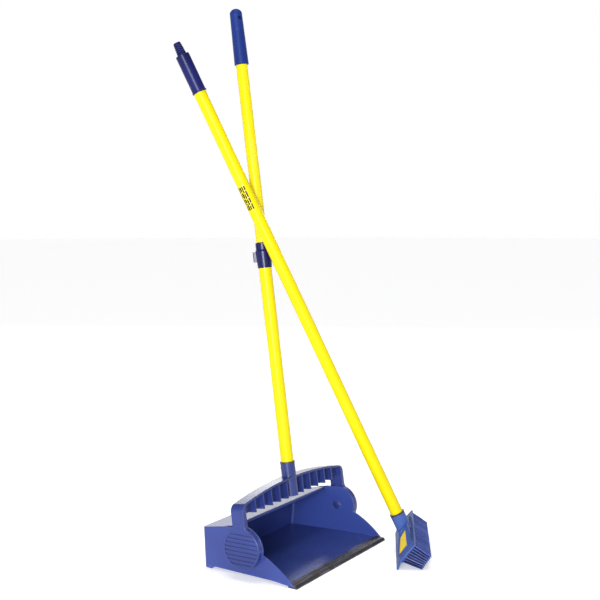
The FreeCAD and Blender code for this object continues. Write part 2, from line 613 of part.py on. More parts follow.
def collar_nut():
    """Twist nut with two finger wings."""
    bore = SLEEVE_OUTER + RUNNING_CLEARANCE
    radius_foot, radius_top = SLEEVE_OUTER + COLLAR_WALL_FOOT, SLEEVE_OUTER + COLLAR_WALL_TOP
    bevel = 3.0
    body = turned([(bore, COLLAR_FOOT), (radius_foot - 0.4, COLLAR_FOOT),
                   (radius_foot, COLLAR_FOOT + 0.6), (radius_top, COLLAR_TOP - bevel),
                   (radius_top - 0.8, COLLAR_TOP), (bore, COLLAR_TOP)])
    wing = box(-WING_WIDTH / 2, WING_WIDTH / 2, bore + 0.4, radius_top + WING_REACH,
               COLLAR_TOP - WING_HEIGHT - bevel, COLLAR_TOP - bevel)
    outer = [edge for edge in wing.Edges
             if edge.CenterOfMass.y > radius_top + WING_REACH - 0.01]
    wing = wing.makeFillet(1.4, outer)
    other = wing.copy()
    other.rotate(V(0, 0, 0), V(0, 0, 1), 180)
    wings = wing.fuse(other)
    wings.rotate(V(0, 0, 0), V(0, 0, 1), WING_TURN)
    return body.fuse(wings).removeSplitter()


def collet():
    """Split gripping ring above the nut; three slots let its fingers close on the tube."""
    bore = UPPER_TUBE_RADIUS + RUNNING_CLEARANCE
    ring = SLEEVE_OUTER + COLLET_WALL
    shape = turned([(bore, LOWER_TUBE_HEAD), (SLEEVE_OUTER, LOWER_TUBE_HEAD),
                    (SLEEVE_OUTER, COLLAR_TOP + AXIAL_GAP), (ring, COLLAR_TOP + AXIAL_GAP),
                    (ring, COLLET_TOP - 1.2), (ring - 0.8, COLLET_TOP), (bore, COLLET_TOP)])
    slots = []
    for index in range(3):
        slot = box(0, 20, -COLLET_SLOT / 2, COLLET_SLOT / 2, LOWER_TUBE_HEAD + 4, COLLET_TOP - 4)
        slot.rotate(V(0, 0, 0), V(0, 0, 1), 120 * index + 45)
        slots.append(slot)
    return shape.cut(slots)


save("collar_base", on_handle(collar_base()))
save("collar_nut", on_handle(collar_nut()))
save("collet", on_handle(collet()))

save("upper_tube", on_handle(pipe(UPPER_TUBE_RADIUS, UPPER_BORE, UPPER_TUBE_FOOT, UPPER_TUBE_HEAD)))

BUSH_RADIUS = LOWER_BORE - BUSH_CLEARANCE
BUSH_FOOT = UPPER_TUBE_FOOT - BUSH_FLANGE
save("upper_tube_bush", on_handle(turned([
    (0, BUSH_FOOT), (BUSH_RADIUS - 0.8, BUSH_FOOT),
    (BUSH_RADIUS, BUSH_FOOT + 0.8), (BUSH_RADIUS, UPPER_TUBE_FOOT),
    (UPPER_BORE, UPPER_TUBE_FOOT), (UPPER_BORE, UPPER_TUBE_FOOT + BUSH_LENGTH),
    (0, UPPER_TUBE_FOOT + BUSH_LENGTH)])))


def grip():
    """Moulded end grip with a domed top and a hole to hang it by."""
    radius_foot, radius_top = UPPER_TUBE_RADIUS + GRIP_WALL_FOOT, UPPER_TUBE_RADIUS + GRIP_WALL_TOP
    shoulder = GRIP_TOP - GRIP_DOME
    dome_radius = (radius_top ** 2 + GRIP_DOME ** 2) / (2 * GRIP_DOME)
    halfway = math.asin(radius_top / dome_radius) / 2
    dome_middle = V(dome_radius * math.sin(halfway), 0,
                    GRIP_TOP - dome_radius * (1 - math.cos(halfway)))
    bevel = 0.8
    outline = [Part.makeLine(V(0, 0, GRIP_FOOT), V(radius_foot - bevel, 0, GRIP_FOOT)),
               Part.makeLine(V(radius_foot - bevel, 0, GRIP_FOOT), V(radius_foot, 0, GRIP_FOOT + bevel)),
               Part.makeLine(V(radius_foot, 0, GRIP_FOOT + bevel), V(radius_top, 0, shoulder)),
               Part.Arc(V(radius_top, 0, shoulder), dome_middle, V(0, 0, GRIP_TOP)).toShape(),
               Part.makeLine(V(0, 0, GRIP_TOP), V(0, 0, GRIP_FOOT))]
    body = outward(face_of(outline).revolve(V(0, 0, 0), V(0, 0, 1), 360))
    body = body.cut(rod(UPPER_TUBE_RADIUS, GRIP_FOOT - 1, UPPER_TUBE_HEAD))
    hole = side_rod(HANG_RADIUS, -20, 20, 0, HANG_HEIGHT)
    hole.rotate(V(0, 0, 0), V(0, 0, 1), HANG_TURN)
    return body.cut(hole)


save("grip", on_handle(grip()))

# ---- brush --------------------------------------------------------------------------
def crest(w):
    """Upper face of the crowned head above the line between its two long edges."""
    if w < CREST_ACROSS:
        return CREST_HEIGHT * w / CREST_ACROSS
    return CREST_HEIGHT * (HEAD_WIDTH - w) / (HEAD_WIDTH - CREST_ACROSS)


YAW = math.radians(BRUSH_YAW)
TILT = math.radians(HEAD_TILT)
HEAD_ALONG = V(-math.cos(YAW), -math.sin(YAW), 0)
HEAD_OUTWARD = V(math.sin(YAW), -math.cos(YAW), 0)
HEAD_ACROSS = HEAD_OUTWARD * math.cos(TILT) + V(0, 0, math.sin(TILT))
HEAD_NORMAL = HEAD_OUTWARD * -math.sin(TILT) + V(0, 0, math.cos(TILT))
# the low edge of the head stands on the floor
SEAT = V(SEAT_SIDE, LIP_Y - SEAT_AHEAD,
         SEAT_ACROSS * math.sin(TILT) + crest(SEAT_ACROSS) * math.cos(TILT))
HEAD_CORNER = SEAT - HEAD_ACROSS * SEAT_ACROSS - HEAD_NORMAL * crest(SEAT_ACROSS)


def pole_direction():
    """The pole leans on the upper tube and passes it on one side."""
    rest = PIVOT + HANDLE_UP * (COLLET_TOP + POLE_REST_HEIGHT)
    spacing = UPPER_TUBE_RADIUS + BROOM_TUBE_RADIUS + POLE_REST_GAP
    direction = (rest - SEAT).normalize()
    for _ in range(6):
        side = HANDLE_UP.cross(direction).normalize()
        direction = (rest + side * spacing - SEAT).normalize()
    return direction


POLE_UP = pole_direction()
POLE_ACROSS = (HEAD_ALONG - POLE_UP * HEAD_ALONG.dot(POLE_UP)).normalize()


def on_pole(shape):
    """Pieces of the brush pole are drawn upright on the seat, then leaned on the handle."""
    return placed(shape, SEAT, POLE_ACROSS, POLE_UP)


def to_head(shape):
    """Head pieces are drawn with X along the head, Y across it and Z away from the bristles."""
    return placed(shape, HEAD_CORNER, HEAD_ALONG, HEAD_NORMAL)


def head_to_pole(shape):
    """Bring a piece drawn on the brush pole into the drawing frame of the head."""
    turn = FreeCAD.Matrix(HEAD_ALONG.x, HEAD_ACROSS.x, HEAD_NORMAL.x, HEAD_CORNER.x,
                          HEAD_ALONG.y, HEAD_ACROSS.y, HEAD_NORMAL.y, HEAD_CORNER.y,
                          HEAD_ALONG.z, HEAD_ACROSS.z, HEAD_NORMAL.z, HEAD_CORNER.z,
                          0, 0, 0, 1)
    copy = on_pole(shape)
    copy.Placement = FreeCAD.Placement(turn).inverse().multiply(copy.Placement)
    return copy


def head_section():
    """Crowned slab under the top face, along the whole head; its low edge is bevelled flat."""
    half = HEAD_LENGTH / 2
    bevel = RIM_THICKNESS / math.tan(TILT)
    return prism_x([(0, 0), (CREST_ACROSS, CREST_HEIGHT), (HEAD_WIDTH, 0), (HEAD_WIDTH, -RIM_THICKNESS),
                    (CREST_ACROSS, CREST_HEIGHT - RIM_THICKNESS), (bevel, -RIM_THICKNESS)], -half, half)


def saddle(lift=0.0):
    """Tent-shaped web that rises from the plate to the socket, moved up by lift."""
    end, high = HEAD_LENGTH / 2 - SADDLE_END, HEAD_WIDTH - SADDLE_HIGH
    foot = [V(-end, SADDLE_LOW, 1.0), V(end, SADDLE_LOW, 1.0), V(end, high, 0.2), V(-end, high, 0.2)]
    neck = head_to_pole(rod(SOCKET_RADIUS, NECK_HEIGHT, NECK_HEIGHT + 1)).CenterOfMass
    reach = SOCKET_RADIUS * 0.86
    top = [neck + V(-reach, -reach, 0), neck + V(reach, -reach, 0),
           neck + V(reach, reach, 0), neck + V(-reach, reach, 0)]
    wires = [Part.makePolygon(ring + [ring[0]]) for ring in (foot, top)]
    shape = outward(Part.makeLoft(wires, True, True))
    shape.translate(V(0, 0, lift))
    return shape


def inlay_field():
    """Outline of the recess in the slope of the saddle, round at its upper end."""
    outer_x = HEAD_LENGTH / 2 - SADDLE_END - INLAY_END
    start_x = SOCKET_RADIUS + INLAY_START
    high = INLAY_LOW + INLAY_WIDTH
    low_foot, high_foot = V(outer_x, INLAY_LOW, -30), V(outer_x, high, -30)
    high_top, low_top = V(start_x + 7, high + 11, -30), V(start_x + 9, INLAY_LOW + 18, -30)
    crown = V(start_x, INLAY_LOW + 26.5, -30)
    return face_of([Part.makeLine(low_foot, high_foot), Part.makeLine(high_foot, high_top),
                    Part.Arc(high_top, crown, low_top).toShape(), Part.makeLine(low_top, low_foot)])


def raised(face):
    return outward(face.extrude(V(0, 0, 90)))


def inlay_recess():
    return raised(inlay_field()).common(saddle()).cut(saddle(-INLAY_THICKNESS))


def inlay_ridge():
    """Raised frame that arches around the recess."""
    frame = raised(inlay_field().makeOffset2D(RIDGE_WIDTH)).cut(raised(inlay_field()))
    return frame.common(saddle(RIDGE_HEIGHT)).cut(saddle(-1.0))


def inlay():
    """Coloured panel; it stops short of the top of its recess and leaves a dark hollow."""
    panel = raised(inlay_field()).common(saddle(INLAY_PROUD)).cut(saddle(-INLAY_THICKNESS))
    start_x = SOCKET_RADIUS + INLAY_START
    high = INLAY_LOW + INLAY_WIDTH + 20
    slant = polygon([V(-5, high, -30), V(-5, 0, -30), V(start_x + 18, INLAY_LOW, -30),
                     V(start_x + 6, high, -30)])
    return panel.cut(raised(slant))


def brush_block():
    plate = head_section()
    # thick core that holds the roots of the bristles, a millimetre into the plate
    low, high, end = FIRST_ROW - ROW_THICKNESS, HEAD_WIDTH - CORE_SIDE, HEAD_LENGTH / 2 - CORE_END
    core = prism_x([(low, -RIM_THICKNESS), (low, crest(low) - 1), (CREST_ACROSS, CREST_HEIGHT - 1),
                    (high, crest(high) - 1), (high, -RIM_THICKNESS)], -end, end)
    ridge, recess, panel = inlay_ridge(), inlay_recess(), inlay()
    shape = plate.fuse([core, saddle(), ridge, mirrored(ridge)])
    shape = shape.cut([recess, mirrored(recess), panel, mirrored(panel)])
    socket = head_to_pole(rod(SOCKET_RADIUS, -1.0, SOCKET_TOP - SOCKET_RING))
    below = box(-300, 300, -100, 200, -80, -2.0)
    shape = shape.fuse(socket.cut(below))
    shape = shape.cut(head_to_pole(rod(BROOM_TUBE_RADIUS, BROOM_TUBE_FOOT, SOCKET_TOP + 1)))
    return shape.removeSplitter()


def socket_side_hole():
    """Hole for the screw, on the far side of the socket."""
    return Part.makeCylinder(BRUSH_SCREW_RADIUS, 20, V(0, 0, BRUSH_SCREW_HEIGHT), V(-1, 0, 0))


save("brush_inlay_near", to_head(inlay()))
save("brush_inlay_far", to_head(mirrored(inlay())))
save("brush_block", to_head(brush_block()).cut(on_pole(socket_side_hole())))
save("brush_socket_ring", on_pole(pipe(SOCKET_RADIUS + RING_PROUD, BROOM_TUBE_RADIUS,
                                       SOCKET_TOP - SOCKET_RING, SOCKET_TOP)))

brush_screw = cross_screw(BRUSH_SCREW_RADIUS, SCREW_HEAD, BROOM_BORE - SCREW_BITE,
                          SOCKET_RADIUS + SCREW_SEAT_GAP)
brush_screw.rotate(V(0, 0, 0), V(0, 0, 1), 90)
brush_screw.translate(V(0, 0, BRUSH_SCREW_HEIGHT))
save("brush_screw", on_pole(brush_screw))

# rows of bristles; the tips of the lowest are pressed level by the floor
floor_cut = box(-900, 900, -900, 900, -60, 0)
row_end = HEAD_LENGTH / 2 - BRISTLE_END
for row in range(BRISTLE_ROWS):
    share = row / (BRISTLE_ROWS - 1)
    last = HEAD_WIDTH - LAST_ROW
    root, tip = FIRST_ROW + (last - FIRST_ROW) * share, FIRST_ROW_TIPS + (last - FIRST_ROW_TIPS) * share
    reach = BRISTLE_SHORT + (BRISTLE_LONG - BRISTLE_SHORT) * share
    half = ROW_THICKNESS / 2
    slab = prism_x([(root - half, -RIM_THICKNESS), (root + half, -RIM_THICKNESS),
                    (tip + half, -reach), (tip - half, -reach)], -row_end, row_end)
    save("bristle_row_%d" % (row + 1), to_head(slab).cut(floor_cut))

broom_tube = pipe(BROOM_TUBE_RADIUS, BROOM_BORE, BROOM_TUBE_FOOT, BROOM_TUBE_HEAD)
save("broom_tube", on_pole(broom_tube.cut(socket_side_hole())))


def tip_radius(z):
    """Core of the tapered thread."""
    share = (z - SLEEVE_TOP) / TIP_LENGTH
    return BROOM_TUBE_RADIUS - TIP_SHOULDER_FOOT - (TIP_SHOULDER_TOP - TIP_SHOULDER_FOOT) * share


def broom_tip():
    """Sleeve on the top of the brush pole, ending in a tapered thread core."""
    rim, skin = BROOM_TUBE_RADIUS + SLEEVE_RIM, BROOM_TUBE_RADIUS + SLEEVE_SKIN
    return turned([(BROOM_BORE, BROOM_TUBE_HEAD), (BROOM_TUBE_RADIUS, BROOM_TUBE_HEAD),
                   (BROOM_TUBE_RADIUS, SLEEVE_FOOT), (rim, SLEEVE_FOOT),
                   (rim, SLEEVE_FOOT + 2.4), (skin, SLEEVE_FOOT + 3.2),
                   (skin, SLEEVE_TOP - 0.8), (skin - 0.8, SLEEVE_TOP),
                   (tip_radius(SLEEVE_TOP), SLEEVE_TOP), (tip_radius(TIP_TOP - 1.2), TIP_TOP - 1.2),
                   (tip_radius(TIP_TOP) - 1.2, TIP_TOP), (0, TIP_TOP),
                   (0, BROOM_TUBE_HEAD - TIP_PLUG), (BROOM_BORE, BROOM_TUBE_HEAD - TIP_PLUG)])


def tip_with_thread():
    """Coarse ridges stand for the thread that screws into other heads."""
    shape = broom_tip()
    for turn in range(THREAD_TURNS):
        z = SLEEVE_TOP + 0.8 * THREAD_PITCH + THREAD_PITCH * turn
        radius = tip_radius(z)
        shape = shape.fuse(turned([(radius - 1.5, z - 1.2), (radius - 0.2, z - 1.2),
                                   (radius + 0.8, z), (radius - 0.2, z + 1.2), (radius - 1.5, z + 1.2)]))
    return shape.removeSplitter()


save("broom_tip", on_pole(tip_with_thread()))

label = pipe(BROOM_TUBE_RADIUS + LABEL_THICKNESS, BROOM_TUBE_RADIUS, LABEL_FOOT,
             LABEL_FOOT + LABEL_LENGTH)
half_side = box(-40, 40, -40, 0, LABEL_FOOT - 1, LABEL_FOOT + LABEL_LENGTH + 1)
save("pole_label", on_pole(label.common(half_side)))
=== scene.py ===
"""Dust pan with a telescopic handle and the long brush that leans on it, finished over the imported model.

Metres; +Z up; the mouth of the pan faces -Y. Sections follow the set as it is put together.
"""
import json
import math

import bmesh
import bpy
from mathutils import Matrix, Vector
from mathutils.bvhtree import BVHTree


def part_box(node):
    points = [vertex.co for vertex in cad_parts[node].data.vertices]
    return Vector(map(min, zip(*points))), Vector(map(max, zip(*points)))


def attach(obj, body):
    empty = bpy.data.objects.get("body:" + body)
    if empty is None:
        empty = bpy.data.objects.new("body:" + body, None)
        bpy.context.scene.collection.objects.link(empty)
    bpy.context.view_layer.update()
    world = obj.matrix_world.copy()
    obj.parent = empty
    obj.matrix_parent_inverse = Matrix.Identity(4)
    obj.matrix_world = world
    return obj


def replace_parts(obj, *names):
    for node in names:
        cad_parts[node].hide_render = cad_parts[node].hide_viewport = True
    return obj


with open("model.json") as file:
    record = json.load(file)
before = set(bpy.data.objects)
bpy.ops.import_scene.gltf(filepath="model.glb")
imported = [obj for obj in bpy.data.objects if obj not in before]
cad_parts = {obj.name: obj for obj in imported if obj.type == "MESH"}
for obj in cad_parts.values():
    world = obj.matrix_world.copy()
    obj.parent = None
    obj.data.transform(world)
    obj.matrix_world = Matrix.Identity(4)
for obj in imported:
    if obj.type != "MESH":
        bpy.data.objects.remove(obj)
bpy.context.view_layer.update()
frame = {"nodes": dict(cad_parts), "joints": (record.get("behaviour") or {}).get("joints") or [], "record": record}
NODES = frame["nodes"]

# ---- studio -------------------------------------------------------------------------
# A white studio sweep: a pale matt floor under a white sky, a soft box low down on the
# left of the camera, a wide one behind the set, and a broad light straight overhead.
FLOOR_RADIUS = 14.0
CAMERA_PLACE = (-1.62906, -1.09714, 0.61854)
CAMERA_TURN = math.radians(-58.46)
CAMERA_PITCH = math.radians(5.347)
CAMERA_ROLL = math.radians(-0.129)
CAMERA_LENS, CAMERA_SENSOR = 68.58, 36.0


class Wire:
    """An output of a node. Arithmetic on it adds Math nodes to the tree it is in."""

    def __init__(self, web, socket):
        self.web = web
        self.socket = socket

    def math(self, operation, first, second):
        return self.web.node("ShaderNodeMath", {"operation": operation}, {0: first, 1: second})

    def __add__(self, other):
        return self.math("ADD", self, other)

    def __radd__(self, other):
        return self.math("ADD", other, self)

    def __sub__(self, other):
        return self.math("SUBTRACT", self, other)

    def __rsub__(self, other):
        return self.math("SUBTRACT", other, self)

    def __mul__(self, other):
        return self.math("MULTIPLY", self, other)

    def __rmul__(self, other):
        return self.math("MULTIPLY", other, self)

    def __truediv__(self, other):
        return self.math("DIVIDE", self, other)


class Web:
    """A node tree. node() adds one node from its type, its settings and what feeds it."""

    def __init__(self, tree):
        self.tree = tree

    def node(self, kind, settings=None, inputs=None, output=0):
        made = self.tree.nodes.new(kind)
        for name, value in (settings or {}).items():
            setattr(made, name, value)
        for place, value in (inputs or {}).items():
            if isinstance(value, Wire):
                self.tree.links.new(value.socket, made.inputs[place])
            else:
                made.inputs[place].default_value = value
        return Wire(self, made.outputs[output])


class Finish(Web):
    """A material: the node tree round one Principled shader."""

    def __init__(self, name, colour, roughness, **constants):
        self.material = bpy.data.materials.new(name)
        self.material.use_nodes = True
        super().__init__(self.material.node_tree)
        self.shader = self.tree.nodes["Principled BSDF"]
        self.shader.inputs["Base Color"].default_value = (*colour, 1)
        self.shader.inputs["Roughness"].default_value = roughness
        for socket, value in constants.items():
            self.shader.inputs[socket.replace("_", " ")].default_value = value
        self.place = self.node("ShaderNodeTexCoord", output="Object")

    def feed(self, socket, wire):
        self.tree.links.new(wire.socket, self.shader.inputs[socket])

    def noise(self, scale, detail=2.0, place=None):
        return self.node("ShaderNodeTexNoise", inputs={
            "Vector": place or self.place, "Scale": scale, "Detail": detail})

    def reach(self, axis):
        """Distance along a direction."""
        return self.node("ShaderNodeVectorMath", {"operation": "DOT_PRODUCT"},
                         {0: self.place, 1: axis}, "Value")

    def combined(self, x, y, z):
        return self.node("ShaderNodeCombineXYZ", inputs={0: x, 1: y, 2: z})

    def between(self, wire, low, high):
        """0 below low, 1 above high, with a soft step from one to the other."""
        return self.node("ShaderNodeMapRange", {"interpolation_type": "SMOOTHSTEP"},
                         {"Value": wire, "From Min": low, "From Max": high})

    def mixed(self, share, first, second):
        """One colour turning into another."""
        return self.node("ShaderNodeMix", {"data_type": "RGBA"},
                         {0: share, 6: first if isinstance(first, Wire) else (*first, 1),
                          7: second if isinstance(second, Wire) else (*second, 1)}, 2)

    def bump(self, height, depth):
        """Relief of the surface; depth is its height in metres."""
        normal = self.node("ShaderNodeBump", inputs={"Strength": 1.0, "Distance": depth, "Height": height})
        self.feed("Normal", normal)


def floor_paint():
    """Matt white studio paint with the faint nap that a roller leaves."""
    finish = Finish("studio_paint", (0.9, 0.9, 0.9), 0.6, Emission_Color=(1, 1, 1, 1),
                    Emission_Strength=0.34)
    nap = finish.noise(240.0, 3.0)
    finish.feed("Base Color", finish.mixed(nap, (0.89, 0.89, 0.893), (0.92, 0.92, 0.92)))
    finish.bump(nap, 0.0002)
    return finish.material


def studio_floor():
    mesh = bpy.data.meshes.new("studio_floor")
    form = bmesh.new()
    bmesh.ops.create_circle(form, cap_ends=True, segments=96, radius=FLOOR_RADIUS)
    form.to_mesh(mesh)
    form.free()
    floor = bpy.data.objects.new("studio_floor", mesh)
    bpy.context.scene.collection.objects.link(floor)
    mesh.materials.append(floor_paint())


def soft_box(name, place, target, size, power):
    lamp = bpy.data.lights.new(name, "AREA")
    lamp.shape = "RECTANGLE"
    lamp.size, lamp.size_y = size
    lamp.energy = power
    hung = bpy.data.objects.new(name, lamp)
    bpy.context.scene.collection.objects.link(hung)
    hung.location = place
    hung.rotation_euler = (Vector(target) - Vector(place)).to_track_quat("-Z", "Y").to_euler()


def white_sky():
    """White round the horizon, greyer overhead."""
    world = bpy.data.worlds.new("white_sky")
    bpy.context.scene.world = world
    world.use_nodes = True
    web = Web(world.node_tree)
    height = web.node("ShaderNodeSeparateXYZ", inputs={
        0: web.node("ShaderNodeTexCoord", output="Generated")}, output="Z")
    glow = web.node("ShaderNodeMapRange", inputs={
        "Value": height, "From Min": 0.18, "From Max": 0.40, "To Min": 1.0, "To Max": 0.25})
    backdrop = world.node_tree.nodes["Background"]
    backdrop.inputs["Color"].default_value = (1.0, 1.0, 1.0, 1)
    world.node_tree.links.new(glow.socket, backdrop.inputs["Strength"])


studio_floor()
white_sky()
soft_box("key_box", (-2.65, -1.20, 0.75), (0.0, -0.1, 0.25), (1.0, 1.0), 95)
soft_box("back_box", (2.7, 1.3, 1.0), (0.0, -0.05, 0.1), (2.4, 0.9), 22)
overhead = bpy.data.objects.new("overhead", bpy.data.lights.new("overhead", "SUN"))
overhead.data.energy = 1.2
overhead.data.angle = math.radians(35)
bpy.context.scene.collection.objects.link(overhead)

camera = bpy.data.objects.new("camera", bpy.data.cameras.new("camera"))
bpy.context.scene.collection.objects.link(camera)
bpy.context.scene.camera = camera
camera.data.lens = CAMERA_LENS
camera.data.sensor_width = CAMERA_SENSOR
camera.location = CAMERA_PLACE
backward = Vector((math.sin(CAMERA_TURN) * math.cos(CAMERA_PITCH),
                   -math.cos(CAMERA_TURN) * math.cos(CAMERA_PITCH), math.sin(CAMERA_PITCH)))
camera.rotation_mode = "QUATERNION"
camera.rotation_quaternion = ((-backward).to_track_quat("-Z", "Y").to_matrix()
                              @ Matrix.Rotation(CAMERA_ROLL, 3, "Z")).to_quaternion()
bpy.context.scene.view_settings.view_transform = "Standard"

# ---- pan ----------------------------------------------------------------------------
# The pan is one injection moulding in navy polypropylene, with a roof over its rear half.
# Outside it has a fine eroded grain and a soft gloss; its foot and ramp are rubbed by floors.
NAVY = (0.024, 0.045, 0.220)
NAVY_DEEP = (0.019, 0.036, 0.185)
NAVY_RUBBED = (0.080, 0.105, 0.33)
SCUFF_HEIGHT = 0.010
PAN_EDGE = 0.0010


def paint(node, material):
    """Give a carried-over node its finish."""
    slots = NODES[node].material_slots
    for slot in slots:
        slot.material = material
    if not slots:
        NODES[node].data.materials.append(material)


def moulded_plastic(name, colour, deep, rubbed, roughness, grain, **constants):
    """Moulded plastic: faint flow clouds, an eroded grain, and pale hairline rubs."""
    finish = Finish(name, colour, roughness, **constants)
    clouds = finish.noise(9.0, 2.0)
    fine = finish.noise(1400.0, 2.0)
    hair = finish.noise(60.0, 4.0, finish.node("ShaderNodeMapping", inputs={
        "Vector": finish.place, "Rotation": (0.5, 0.9, 0.3), "Scale": (1.0, 26.0, 26.0)}))
    rubs = finish.between(hair, 0.63, 0.70) * finish.between(clouds, 0.40, 0.62)
    body = finish.mixed(finish.between(clouds, 0.3, 0.6), deep, colour)
    finish.feed("Base Color", finish.mixed(rubs * 0.45, body, rubbed))
    finish.feed("Roughness", roughness + 0.09 * clouds + 0.10 * rubs)
    finish.bump(fine + 0.5 * rubs, grain)
    return finish, body, rubs


def pan_plastic():
    """Navy plastic, scuffed pale where the pan slides on the floor."""
    finish, body, rubs = moulded_plastic("navy_pan_plastic", NAVY, NAVY_DEEP, NAVY_RUBBED, 0.27, 2.2e-5,
                                         Specular_IOR_Level=0.4)
    height = finish.node("ShaderNodeSeparateXYZ", inputs={0: finish.place}, output="Z")
    foot = 1 - finish.between(height, 0.0015, SCUFF_HEIGHT)
    patches = finish.between(finish.noise(140.0, 4.0), 0.42, 0.66)
    scuffed = finish.mixed(rubs * 0.45, body, NAVY_RUBBED)
    finish.feed("Base Color", finish.mixed(foot * patches * 0.7, scuffed, NAVY_RUBBED))
    return finish.material


def eased(node, name, material, radius):
    """Copy of a moulding with its sharp edges eased, as a moulder's tool leaves them."""
    form = bmesh.new()
    form.from_mesh(NODES[node].data)
    bmesh.ops.remove_doubles(form, verts=form.verts, dist=0.00002)
    bmesh.ops.dissolve_limit(form, angle_limit=math.radians(1), verts=form.verts, edges=form.edges)
    for face in form.faces:
        face.smooth = True
    mesh = bpy.data.meshes.new(name)
    form.to_mesh(mesh)
    form.free()
    rough = bpy.data.objects.new(name, mesh)
    bpy.context.scene.collection.objects.link(rough)
    edge = rough.modifiers.new("eased", "BEVEL")
    edge.width, edge.segments = radius, 2
    edge.limit_method, edge.angle_limit = "ANGLE", math.radians(30)
    edge.use_clamp_overlap = False
    rough.modifiers.new("level", "WEIGHTED_NORMAL").keep_sharp = True
    shown = rough.evaluated_get(bpy.context.evaluated_depsgraph_get())
    mesh = bpy.data.meshes.new_from_object(shown)
    bpy.data.objects.remove(rough)
    mesh.materials.clear()
    mesh.materials.append(material)
    piece = bpy.data.objects.new(name, mesh)
    bpy.context.scene.collection.objects.link(piece)
    return piece


pan = eased("pan_body", "pan_moulding", pan_plastic(), PAN_EDGE)
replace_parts(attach(pan, "pan"), "pan_body")

# ---- rubber lip ---------------------------------------------------------------------
# A black rubber strip is pressed over the front edge of the floor. Four low ribs run along
# it so that swept dust doesn't slide back out. Lilac-grey streaks on it are partly wear, partly a painted sheen.
RUBBER = (0.014, 0.013, 0.017)
# lilac grey of the streaks: partly worn rubber, partly a painted sheen
RUBBER_WEAR_AND_SHEEN = (0.150, 0.140, 0.200)
RIB_COUNT = 4
RIB_HEIGHT = 0.0007
RIB_WIDTH = 0.0019
RIB_SINK = 0.0001
REAR_MARGIN = 0.0022
FRONT_MARGIN = 0.0048
END_MARGINS = 0.0095
ABOVE_PAN = 0.5


def lip_rubber():
    finish = Finish("lip_rubber", RUBBER, 0.38, Specular_IOR_Level=0.6)
    blotch = finish.noise(38.0, 4.0)
    drag = finish.noise(90.0, 3.0, finish.node("ShaderNodeMapping", inputs={
        "Vector": finish.place, "Scale": (0.12, 9.0, 9.0)}))
    wear_and_sheen = finish.between(drag, 0.46, 0.68) * finish.between(blotch, 0.35, 0.65)
    # streaks of lilac grey: partly rubbed wear, partly a painted sheen
    finish.feed("Base Color", finish.mixed(wear_and_sheen, RUBBER, RUBBER_WEAR_AND_SHEEN))
    finish.feed("Roughness", 0.34 + 0.22 * wear_and_sheen)
    finish.bump(finish.noise(2600.0, 2.0) + 0.6 * drag, 1.6e-5)
    return finish.material


class Recipe(Web):
    """A geometry tree with named inputs, made into a modifier."""

    def __init__(self, name, sizes):
        super().__init__(bpy.data.node_groups.new(name, "GeometryNodeTree"))
        self.sizes = sizes
        for label, value in sizes.items():
            kind = "NodeSocketInt" if isinstance(value, int) else "NodeSocketFloat"
            self.tree.interface.new_socket(label, in_out="INPUT", socket_type=kind)
        self.tree.interface.new_socket("Geometry", in_out="OUTPUT", socket_type="NodeSocketGeometry")
        self.inputs = self.tree.nodes.new("NodeGroupInput")

    def size(self, label):
        return Wire(self, self.inputs.outputs[label])

    def made(self, name, geometry, material, placed=None):
        """Realise the tree as a plain mesh, put the mesh in its place, and return its object."""
        real = self.node("GeometryNodeRealizeInstances", inputs={0: geometry})
        painted = self.node("GeometryNodeSetMaterial", inputs={"Geometry": real, "Material": material})
        self.tree.links.new(painted.socket, self.tree.nodes.new("NodeGroupOutput").inputs[0])
        seed = bpy.data.objects.new(name, bpy.data.meshes.new(name))
        bpy.context.scene.collection.objects.link(seed)
        modifier = seed.modifiers.new("recipe", "NODES")
        modifier.node_group = self.tree
        for item in self.tree.interface.items_tree:
            if item.in_out == "INPUT":
                modifier[item.identifier] = self.sizes[item.name]
        shown = seed.evaluated_get(bpy.context.evaluated_depsgraph_get())
        mesh = bpy.data.meshes.new_from_object(shown)
        bpy.data.objects.remove(seed)
        if placed is not None:
            mesh.transform(placed)
        piece = bpy.data.objects.new(name, mesh)
        bpy.context.scene.collection.objects.link(piece)
        return piece


def height_over(node, x, y):
    """Height of the top of a node over a point of the floor."""
    mesh = NODES[node].data
    tree = BVHTree.FromPolygons([v.co for v in mesh.vertices], [p.vertices for p in mesh.polygons])
    return tree.ray_cast(Vector((x, y, ABOVE_PAN)), Vector((0, 0, -1)))[0].z


